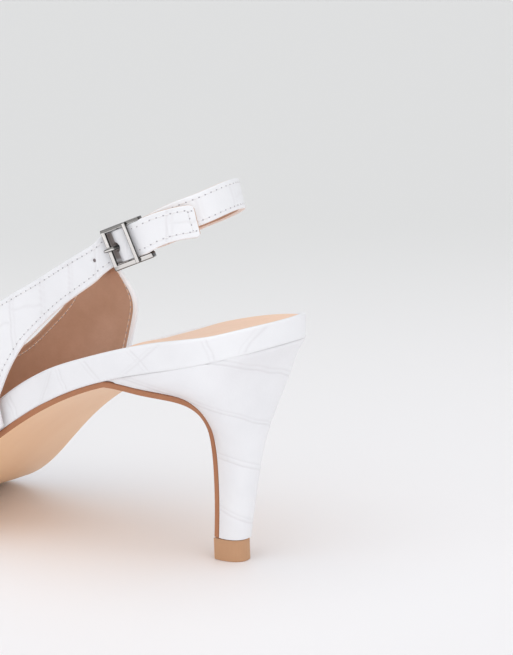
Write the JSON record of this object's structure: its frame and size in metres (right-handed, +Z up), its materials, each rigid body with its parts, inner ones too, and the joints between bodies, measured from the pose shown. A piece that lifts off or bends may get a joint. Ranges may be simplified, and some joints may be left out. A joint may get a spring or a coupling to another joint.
{
  "type": "slingback court shoe",
  "caption": "Pointed slingback court shoe for the left foot, on a slim kitten heel, with a closed toe, an open back and a buckled strap round the heel.",
  "frame": {"origin": "centre of the top piece's underside, on the floor", "axes": "+X towards the toe, +Y towards the outer (lateral) side of the left foot, +Z up"},
  "size_m": [0.2504, 0.0774, 0.1091],
  "materials": {
    "upper_leather": "semi-gloss white, embossed with a reptile-scale grain",
    "sock_leather": "smooth pale tan, satin; the footbed's bare edge is wrapped in the white embossed leather",
    "sole_tan": "tan, satin, ribbed under the tread",
    "top_piece_tan": "tan, matte",
    "buckle_metal": "polished silver-coloured plating"
  },
  "bodies": {
    "root": {"outsole": "sole_tan", "heel": "upper_leather", "top_piece": "top_piece_tan", "footbed": "sock_leather", "upper": "upper_leather", "back_strap": "upper_leather", "buckle_frame": "buckle_metal", "buckle_prong": "buckle_metal"}
  },
  "joints": []
}
